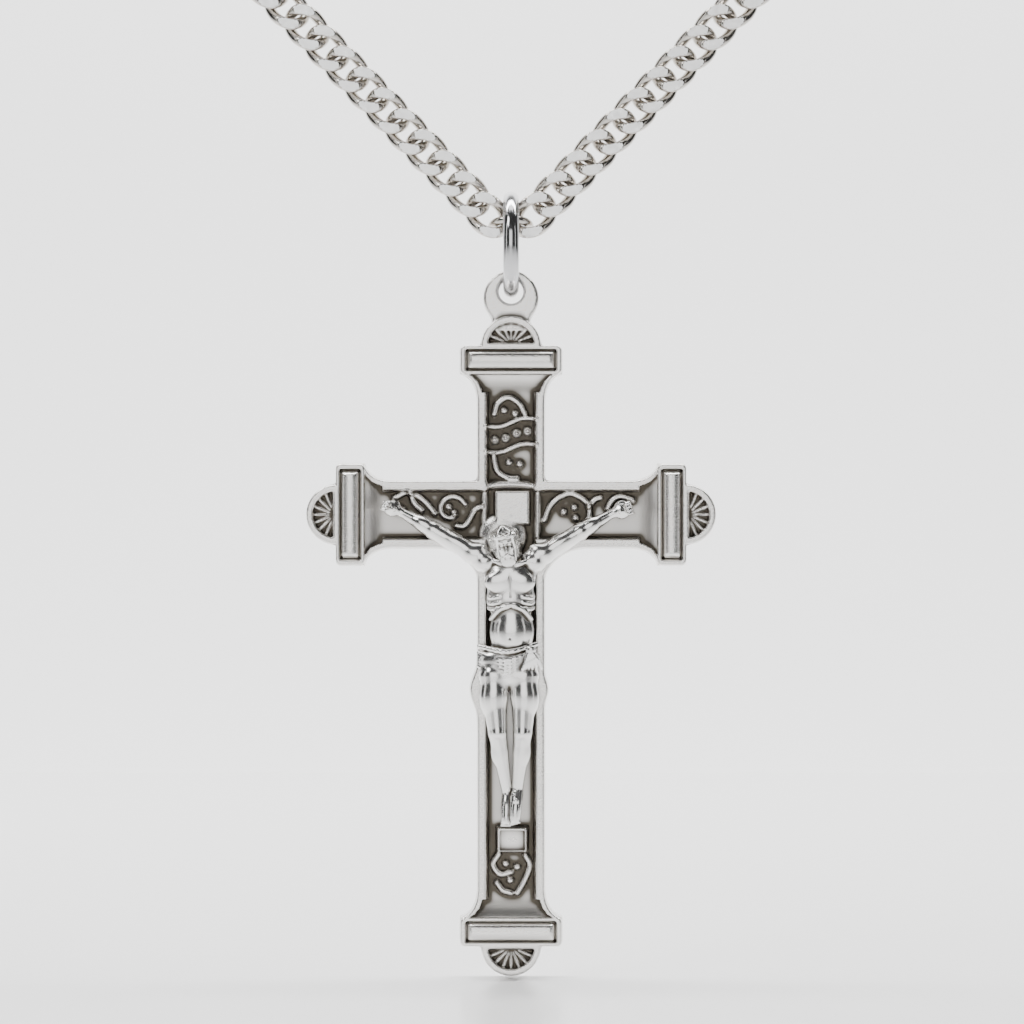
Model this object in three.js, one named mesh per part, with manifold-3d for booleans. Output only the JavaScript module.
// Crucifix pendant on a length of flat-cut curb chain. Millimetres, +Z up, the front faces -Y.
// The origin is the middle of the chain's bight, where it passes through the jump ring.
import * as THREE from "three";
import { mergeVertices } from "three/addons/utils/BufferGeometryUtils.js";
import Module from "manifold-3d";

const wasm = await Module();
wasm.setup();

// ---- driving dimensions ----

const CHAIN = {
  pitch: 1.838, // from one link to the next
  wire: 0.7, // diameter of the link's wire
  halfLength: 1.3, // centre of the link to the wire's centre, along the strand
  halfWidth: 0.92, // the same, across the strand
  twist: 0.44, // how far the wire rises and falls as it goes round
  flat: 0.55, // the front and back are cut flat this far from the middle
  perSide: 12,
  slope: THREE.MathUtils.degToRad(46), // of each strand above the horizontal
  drop: -0.552, // where the strands' centre lines would meet
  firstX: 1.479, // the innermost link's centre
};
const CENTRE_LINK = {
  halfLength: 1.171,
  halfWidth: 0.989,
  wire: 0.54,
  tilt: 1.203, // of its own Z, away from the front
  y: 0.367,
  z: 0.339,
};
const JUMP_RING = { z: -0.88, radius: 2.88, wire: 1.0 };
const EYE = { z: -4.3, radius: 1.75, holeZ: -3.86, hole: 0.78, thickness: 1.5, neck: 1.18 };
const CROSS = {
  z: -18.0, // centre of the crossing
  half: 2.1, // half the width of a limb
  rim: 0.5,
  side: 11.08, // crossing to the outer face of the side blocks
  top: 10.67,
  bottom: 27.3,
  blockHalf: 3.1,
  block: 1.8, // thickness of an end block
  flare: 1.75, // length of the curved stretch between limb and block
  lobe: 1.87,
  lobeRim: 0.42,
};
// planes of the cross, from the back to the front
const DEPTH = { back: 0.8, field: -0.35, slope: -0.62, rim: -0.95, bar: -1.2 };
const SEAT_GAP = 0.03; // between the figure and the cross behind it
const END_RING = { radius: 1.5, wire: 0.54, reach: 0.55 };
const CLASP = {
  eye: 0.95,
  eyeHole: 0.55,
  eyeHalf: 0.55, // half thickness of the eye and neck
  neckHalf: 0.6,
  middle: 5.2, // centre of the claw's oval outline
  halfLength: 3.9,
  halfWidth: 2.4,
  mouthMiddle: 5.5,
  mouthHalfLength: 2.6,
  mouthHalfWidth: 1.35,
  thickness: 1.8,
  slot: 1.2,
  pivotX: 2.75,
  pivotZ: -1.25,
  nose: 6.9, // where the hook ends and the lever begins
  hub: 0.65, // the lever's round end
  hubRoom: 0.98, // clears the lever's inner corner as it opens
  lug: 1.0,
  seam: -0.35, // the lever's upper edge
  thumb: 0.35,
  rivet: 0.25,
  gap: 0.05,
};

const SILVER = { color: 0xd6d4d0, roughness: 0.25, metalness: 1 };
const OXIDISED = { color: 0x9c9890, roughness: 0.45, metalness: 1 };

// ---- solids ----

function toSolid(geometry) {
  geometry.deleteAttribute("normal");
  geometry.deleteAttribute("uv");
  const merged = mergeVertices(geometry, 1e-5);
  return new wasm.Manifold(
    new wasm.Mesh({
      numProp: 3,
      vertProperties: new Float32Array(merged.attributes.position.array),
      triVerts: new Uint32Array(merged.index.array),
    }),
  );
}

function toGeometry(solid) {
  const mesh = solid.getMesh();
  const geometry = new THREE.BufferGeometry();
  geometry.setAttribute("position", new THREE.BufferAttribute(mesh.vertProperties, 3));
  geometry.setIndex(new THREE.BufferAttribute(mesh.triVerts, 1));
  return geometry;
}

const join = (solids) => solids.reduce((all, solid) => all.add(solid));

// A shape drawn in X and Z, solid between the planes y = front and y = back.
function slab(shape, front, back, curveSegments = 8) {
  const geometry = new THREE.ExtrudeGeometry(shape, {
    depth: back - front,
    bevelEnabled: false,
    curveSegments,
  });
  return toSolid(geometry.rotateX(Math.PI / 2).translate(0, back, 0));
}

function box(x0, x1, front, back, z0, z1) {
  const geometry = new THREE.BoxGeometry(x1 - x0, back - front, z1 - z0);
  return toSolid(geometry.translate((x0 + x1) / 2, (front + back) / 2, (z0 + z1) / 2));
}

function ball([x, y, z], [rx, ry, rz], lean = 0) {
  const geometry = new THREE.SphereGeometry(1, 10, 7).scale(rx, ry, rz);
  return toSolid(geometry.rotateY(lean).translate(x, y, z));
}

// A tapered limb with a rounded end at each point.
function limb(from, to, fromRadius, toRadius) {
  const start = new THREE.Vector3(...from);
  const along = new THREE.Vector3(...to).sub(start);
  const length = along.length();
  const profile = [new THREE.Vector2(0, -fromRadius)];
  [-0.9, -0.2].forEach((turn) =>
    profile.push(
      new THREE.Vector2(fromRadius * Math.cos(turn), fromRadius * Math.sin(turn)),
    ),
  );
  [0.2, 0.9].forEach((turn) =>
    profile.push(
      new THREE.Vector2(toRadius * Math.cos(turn), length + toRadius * Math.sin(turn)),
    ),
  );
  profile.push(new THREE.Vector2(0, length + toRadius));
  const turn = new THREE.Quaternion().setFromUnitVectors(
    new THREE.Vector3(0, 1, 0),
    along.normalize(),
  );
  const geometry = new THREE.LatheGeometry(profile, 8).applyQuaternion(turn);
  return toSolid(geometry.translate(...from));
}

// A closed wire: the torus is bent so that its middle follows path(angle).
function closedWire(path, wire, around, sides) {
  const torus = new THREE.TorusGeometry(1, 0.25, sides, around);
  const position = torus.attributes.position;
  const point = new THREE.Vector3();
  for (let i = 0; i < position.count; i += 1) {
    const ring = Math.floor(i / (around + 1));
    const turn = ((i % (around + 1)) / around) * 2 * Math.PI;
    const section = (ring / sides) * 2 * Math.PI;
    const centre = path(turn);
    const ahead = path(turn + 0.01).sub(path(turn - 0.01)).normalize();
    const side = new THREE.Vector3(0, 1, 0).cross(ahead).normalize();
    const rise = ahead.clone().cross(side);
    point.copy(centre);
    point.addScaledVector(side, (Math.cos(section) * wire) / 2);
    point.addScaledVector(rise, (Math.sin(section) * wire) / 2);
    position.setXYZ(i, point.x, point.y, point.z);
  }
  torus.deleteAttribute("normal");
  torus.deleteAttribute("uv");
  const merged = mergeVertices(torus, 1e-5);
  if (volume(merged) < 0) merged.index.array.reverse();
  return merged;
}

function volume(geometry) {
  const { position } = geometry.attributes;
  const corner = [0, 1, 2].map(() => new THREE.Vector3());
  let total = 0;
  for (let i = 0; i < geometry.index.count; i += 3) {
    corner.forEach((v, k) => v.fromBufferAttribute(position, geometry.index.getX(i + k)));
    total += corner[0].dot(corner[1].cross(corner[2])) / 6;
  }
  return total;
}

// ---- chain ----

// A curb link: an oval wire twisted so that the links nest, then cut flat front and back.
// hand is 1 or -1, the two mirror forms. X runs along the strand.
function curbLink(hand) {
  const path = (turn) =>
    new THREE.Vector3(
      CHAIN.halfLength * Math.cos(turn),
      CHAIN.twist * hand * Math.sin(2 * turn),
      CHAIN.halfWidth * Math.sin(turn),
    );
  const wire = toSolid(closedWire(path, CHAIN.wire, 16, 6));
  const reach = 2 * CHAIN.halfLength;
  const between = box(-reach, reach, -CHAIN.flat, CHAIN.flat, -reach, reach);
  return toGeometry(wire.intersect(between));
}

// A plain ring lying in its own X and Y.
function plainRing(radius, wire, around, sides) {
  return new THREE.TorusGeometry(radius, wire / 2, sides, around);
}

function centreLink() {
  const path = (turn) =>
    new THREE.Vector3(
      CENTRE_LINK.halfLength * Math.cos(turn),
      0,
      CENTRE_LINK.halfWidth * Math.sin(turn),
    );
  return closedWire(path, CENTRE_LINK.wire, 16, 6);
}

// ---- cross ----

// The outline of one limb and its end, pointing along +V, from its right corner to its left one.
// reach is the distance from the crossing to the end block's outer face.
function limbOutline(shape, reach, place) {
  const inner = reach - CROSS.block;
  const start = inner - CROSS.flare;
  const lobeHalf = CROSS.lobe;
  const point = (u, v) => place(u, v);
  const line = (u, v) => shape.lineTo(...point(u, v));
  const curve = (cu, cv, u, v) => shape.quadraticCurveTo(...point(cu, cv), ...point(u, v));
  line(CROSS.half, start);
  curve(CROSS.half, inner, CROSS.blockHalf, inner);
  line(CROSS.blockHalf, reach);
  const steps = 12;
  for (let i = 0; i <= steps; i += 1) {
    const angle = (i / steps) * Math.PI;
    line(lobeHalf * Math.cos(angle), reach + lobeHalf * Math.sin(angle));
  }
  line(-CROSS.blockHalf, reach);
  line(-CROSS.blockHalf, inner);
  curve(-CROSS.half, inner, -CROSS.half, start);
}

// How a limb's own (u, v) lies on the cross, in X and Z.
const LIMBS = [
  { reach: CROSS.top, place: (u, v) => [u, v] },
  { reach: CROSS.side, place: (u, v) => [-v, u] },
  { reach: CROSS.bottom, place: (u, v) => [-u, -v] },
  { reach: CROSS.side, place: (u, v) => [v, -u] },
];

function crossOutline() {
  const shape = new THREE.Shape();
  shape.moveTo(CROSS.half, CROSS.half);
  const corners = [
    [-CROSS.half, CROSS.half],
    [-CROSS.half, -CROSS.half],
    [CROSS.half, -CROSS.half],
    [CROSS.half, CROSS.half],
  ];
  LIMBS.forEach(({ reach, place }, i) => {
    limbOutline(shape, reach, place);
    shape.lineTo(...corners[i]);
  });
  return shape;
}

// The plate widens under the arms of the figure and beside its legs.
function webs() {
  const h = CROSS.half;
  const under = (side) => {
    const shape = new THREE.Shape();
    shape.moveTo(side * (h - 0.2), -h + 0.2);
    shape.lineTo(side * (h + 2.3), -h);
    shape.quadraticCurveTo(side * (h + 0.5), -h - 0.8, side * h, -h - 2.8);
    shape.lineTo(side * (h - 0.2), -h - 2.8);
    return slab(shape, DEPTH.rim, DEPTH.back, 6);
  };
  const beside = (side, out) => {
    const shape = new THREE.Shape();
    shape.moveTo(side * (h - 0.2), -9.1);
    shape.quadraticCurveTo(side * (h + 2 * out), -11.2, side * (h - 0.2), -13.3);
    return slab(shape, DEPTH.rim, DEPTH.back, 6);
  };
  return [under(-1), under(1), beside(-1, 0.55), beside(1, 0.3)];
}

// What is taken from and laid on the front at the end of each limb.
function endDetails({ reach, place }) {
  const inner = reach - CROSS.block;
  const across = (half, v0, v1, front, back) => {
    const [x0, z0] = place(-half, v0);
    const [x1, z1] = place(half, v1);
    const xs = [x0, x1].sort((a, b) => a - b);
    const zs = [z0, z1].sort((a, b) => a - b);
    return box(...xs, front, back, ...zs);
  };
  const field = CROSS.half - CROSS.rim;
  const recess = new THREE.Shape();
  const radius = CROSS.lobe - CROSS.lobeRim;
  const steps = 10;
  for (let i = 0; i <= steps; i += 1) {
    const angle = (i / steps) * Math.PI;
    const corner = place(radius * Math.cos(angle), reach + 0.15 + radius * Math.sin(angle));
    if (i === 0) recess.moveTo(...corner);
    else recess.lineTo(...corner);
  }
  const front = DEPTH.bar - 1;
  return {
    cuts: [
      across(field, 0, inner - 1.05, front, DEPTH.field),
      across(field, inner - 1.1, inner - 0.05, front, DEPTH.slope),
      slab(recess, front, DEPTH.slope),
      across(2.75, inner + 0.38, inner + 1.42, front, DEPTH.rim + 0.15),
    ],
    bars: [across(2.6, inner + 0.5, inner + 1.3, DEPTH.bar, DEPTH.rim + 0.3)],
  };
}

function eye() {
  const { z, radius, holeZ, hole, thickness, neck } = EYE;
  const shape = new THREE.Shape();
  const meet = Math.acos(neck / radius);
  const foot = CROSS.z + CROSS.top + CROSS.lobe - 0.6;
  shape.absarc(0, z, radius, -meet, Math.PI + meet, false);
  shape.lineTo(-neck, foot);
  shape.lineTo(neck, foot);
  const opening = new THREE.Path();
  opening.absarc(0, holeZ, hole, 0, 2 * Math.PI, true);
  shape.holes.push(opening);
  return slab(shape, -thickness / 2, thickness / 2, 24);
}

function crossSolid() {
  const plate = join([slab(crossOutline(), DEPTH.rim, DEPTH.back, 6), ...webs()]);
  const details = LIMBS.map(endDetails);
  const cut = join(details.flatMap(({ cuts }) => cuts));
  const bars = join(details.flatMap((detail) => detail.bars));
  const label = box(-1.1, 1.3, -0.95, DEPTH.field + 0.2, -0.95, 1.5);
  const halo = ball([-0.55, DEPTH.field, -1.4], [1.5, 0.45, 1.5]);
  const footrest = box(-1.0, 1.15, -1.5, DEPTH.field + 0.2, -21.4, -19.7);
  const body = join([plate.subtract(cut), bars, label, halo, footrest]);
  return body.translate([0, 0, CROSS.z]).add(eye());
}

// ---- figure ----

// Places on the figure, from the crossing of the cross.
const FIGURE = {
  head: [-0.4, -2.0, -1.75],
  beard: [-0.22, -2.15, -2.85],
  hairLeft: [-0.95, -1.55, -2.6],
  hairRight: [0.45, -1.45, -2.6],
  shoulders: [
    [-1.5, -1.5, -2.95],
    [1.2, -1.5, -2.95],
  ],
  elbows: [
    [-4.95, -1.15, -0.95],
    [4.4, -1.15, -1.05],
  ],
  wrists: [
    [-7.1, -0.85, 0.2],
    [6.3, -0.85, 0.05],
  ],
  palms: [
    [-7.75, -0.75, 0.45],
    [7.3, -0.75, 0.2],
  ],
  chest: [-0.1, -1.45, -4.3],
  waist: [0.1, -1.35, -7.3],
  hips: [-0.15, -1.4, -9.2],
  knees: [
    [-0.95, -1.75, -13.6],
    [0.8, -1.75, -13.6],
  ],
  ankles: [
    [-0.1, -1.25, -17.6],
    [0.5, -1.3, -17.6],
  ],
  toes: [
    [-0.25, -1.9, -19.2],
    [0.45, -2.05, -19.0],
  ],
};

function figureSolid(cross) {
  const f = FIGURE;
  const pieces = [
    ball(f.head, [0.95, 0.95, 1.4], 0.15),
    ball(f.beard, [0.5, 0.55, 0.75], 0.15),
    limb([-1.05, -1.5, -1.2], f.hairLeft, 0.4, 0.45),
    limb([0.3, -1.5, -1.2], f.hairRight, 0.4, 0.45),
    limb([-0.3, -1.6, -2.6], [-0.1, -1.5, -3.4], 0.6, 0.7),
    limb(f.shoulders[0], f.shoulders[1], 0.65, 0.65),
    ball(f.chest, [1.7, 1.2, 1.75]),
    ball(f.waist, [1.38, 1.0, 2.3]),
    ball(f.hips, [1.95, 1.1, 1.35]),
    ball([1.5, -1.55, -9.3], [0.6, 0.6, 1.2]),
  ];
  [0, 1].forEach((side) => {
    const hip = [side ? 0.85 : -1.1, -1.45, -10.2];
    pieces.push(limb(f.shoulders[side], f.elbows[side], 0.68, 0.52));
    pieces.push(limb(f.elbows[side], f.wrists[side], 0.52, 0.36));
    pieces.push(limb(f.wrists[side], f.palms[side], 0.36, 0.55));
    pieces.push(limb(hip, f.knees[side], 0.95, 0.62));
    pieces.push(limb(f.knees[side], f.ankles[side], 0.62, 0.36));
    pieces.push(limb(f.ankles[side], f.toes[side], 0.4, 0.36));
  });
  const behind = cross.add(cross.translate([0, -SEAT_GAP, 0]));
  const front = box(-12, 12, -4, DEPTH.field - SEAT_GAP, CROSS.z - 30, CROSS.z + 10);
  return join(pieces).translate([0, 0, CROSS.z]).intersect(front).subtract(behind);
}

// ---- clasp: its own X runs outward along the strand, its eye is at its origin ----

function disc(x, z, radius, front, back, segments) {
  const geometry = new THREE.CylinderGeometry(radius, radius, back - front, segments);
  return toSolid(geometry.translate(x, (front + back) / 2, z));
}

function oval(x, halfLength, halfWidth, front, back) {
  const geometry = new THREE.CylinderGeometry(1, 1, back - front, 28);
  return toSolid(geometry.scale(halfLength, 1, halfWidth).translate(x, (front + back) / 2, 0));
}

function claspParts() {
  const c = CLASP;
  const half = c.thickness / 2;
  const through = half + 1; // cuts that pass right through the claw
  const slot = c.slot / 2;
  const below = -c.halfWidth - 1;
  const mouth = oval(c.mouthMiddle, c.mouthHalfLength, c.mouthHalfWidth, -through, through);
  const claw = join([
    disc(0, 0, c.eye, -c.eyeHalf, c.eyeHalf, 20),
    box(0.6, 2.2, -c.eyeHalf, c.eyeHalf, -c.neckHalf, c.neckHalf),
    oval(c.middle, c.halfLength, c.halfWidth, -half, half),
  ]);
  const lug = disc(c.pivotX, c.pivotZ, c.lug, -through, through, 16);
  const gateRoom = box(c.pivotX, c.nose, -through, through, below, c.seam + c.gap).subtract(lug);
  const thumbRoom = box(c.pivotX - c.lug, c.pivotX + 0.3, -slot, slot, below, c.pivotZ);
  const body = claw
    .subtract(mouth)
    .subtract(gateRoom)
    .subtract(disc(c.pivotX, c.pivotZ, c.hubRoom, -slot, slot, 16))
    .subtract(thumbRoom)
    .subtract(box(c.pivotX, c.pivotX + 1.4, -slot, slot, below, 0))
    .subtract(disc(0, 0, c.eyeHole, -through, through, 20))
    .subtract(disc(c.pivotX, c.pivotZ, c.rivet + 0.02, -through, through, 12));
  const front = -slot + c.gap;
  const back = 0; // the spring sits behind the lever
  const thumbEnd = -c.halfWidth - c.thumb;
  const lever = oval(c.middle, c.halfLength, c.halfWidth, front, back)
    .subtract(mouth)
    .intersect(box(c.pivotX, c.nose - 3 * c.gap, -half, half, -c.halfWidth, c.seam))
    .add(disc(c.pivotX, c.pivotZ, c.hub, front, back, 16))
    .add(box(c.pivotX - 0.8, c.pivotX + 0.1, front, back, thumbEnd, c.pivotZ))
    .subtract(disc(c.pivotX, c.pivotZ, c.rivet + 0.04, -half, half, 12));
  const rivet = disc(c.pivotX, c.pivotZ, c.rivet, -half, half, 12);
  return { body: toGeometry(body), lever: toGeometry(lever), rivet: toGeometry(rivet) };
}

// The clasp's spring: two turns of wire round the rivet, beside the lever.
class SpringPath extends THREE.Curve {
  getPoint(t, target = new THREE.Vector3()) {
    const turn = t * 4 * Math.PI;
    const radius = 0.45;
    return target.set(
      CLASP.pivotX + radius * Math.cos(turn),
      0.13 + 0.32 * t,
      CLASP.pivotZ + radius * Math.sin(turn),
    );
  }
}

function claspSpring() {
  const section = new THREE.Shape();
  section.absarc(0, 0, 0.07, 0, 2 * Math.PI, false);
  return new THREE.ExtrudeGeometry(section, {
    steps: 20,
    curveSegments: 2,
    extrudePath: new SpringPath(),
  });
}

// ---- assembly ----

const pendant = new THREE.Group();

function addMesh(parent, name, geometry, look) {
  const mesh = new THREE.Mesh(geometry, new THREE.MeshStandardMaterial(look));
  mesh.name = name;
  parent.add(mesh);
  return mesh;
}

// A group whose X runs outward along one strand. side is -1 for the left and 1 for the right.
function strandGroup(side) {
  const strand = new THREE.Group();
  strand.rotation.y = side > 0 ? -CHAIN.slope : Math.PI + CHAIN.slope;
  strand.position.set(
    side * CHAIN.firstX,
    0,
    CHAIN.drop + CHAIN.firstX * Math.tan(CHAIN.slope),
  );
  return strand;
}

function addStrand(side, label) {
  const strand = strandGroup(side);
  const link = curbLink(-side);
  for (let i = 0; i < CHAIN.perSide; i += 1) {
    const number = String(i + 1).padStart(2, "0");
    addMesh(strand, `${label}_link_${number}`, link, SILVER).position.x = i * CHAIN.pitch;
  }
  const ring = plainRing(END_RING.radius, END_RING.wire, 20, 6);
  const name = side > 0 ? "end_ring" : "clasp_ring";
  const last = (CHAIN.perSide - 1) * CHAIN.pitch;
  addMesh(strand, name, ring, SILVER).position.x = last + END_RING.reach + END_RING.radius;
  pendant.add(strand);
  return { strand, last };
}

function addClasp({ strand, last }) {
  const clasp = new THREE.Group();
  clasp.position.x = last + END_RING.reach + 2 * END_RING.radius + 0.15;
  const { body, lever, rivet } = claspParts();
  addMesh(clasp, "clasp_body", body, SILVER);
  addMesh(clasp, "clasp_lever", lever, SILVER);
  addMesh(clasp, "clasp_rivet", rivet, SILVER);
  addMesh(clasp, "clasp_spring", claspSpring(), OXIDISED);
  strand.add(clasp);
}

const cross = crossSolid();
addMesh(pendant, "cross", toGeometry(cross), OXIDISED);
addMesh(pendant, "corpus", toGeometry(figureSolid(cross)), SILVER);

const jumpRing = plainRing(JUMP_RING.radius, JUMP_RING.wire, 32, 8);
const jumpMesh = addMesh(pendant, "jump_ring", jumpRing, SILVER);
jumpMesh.rotation.y = Math.PI / 2;
jumpMesh.position.z = JUMP_RING.z;

const middle = addMesh(pendant, "centre_link", centreLink(), SILVER);
middle.rotation.x = CENTRE_LINK.tilt;
middle.position.set(0, CENTRE_LINK.y, CENTRE_LINK.z);

addClasp(addStrand(-1, "left"));
addStrand(1, "right");

export default pendant;
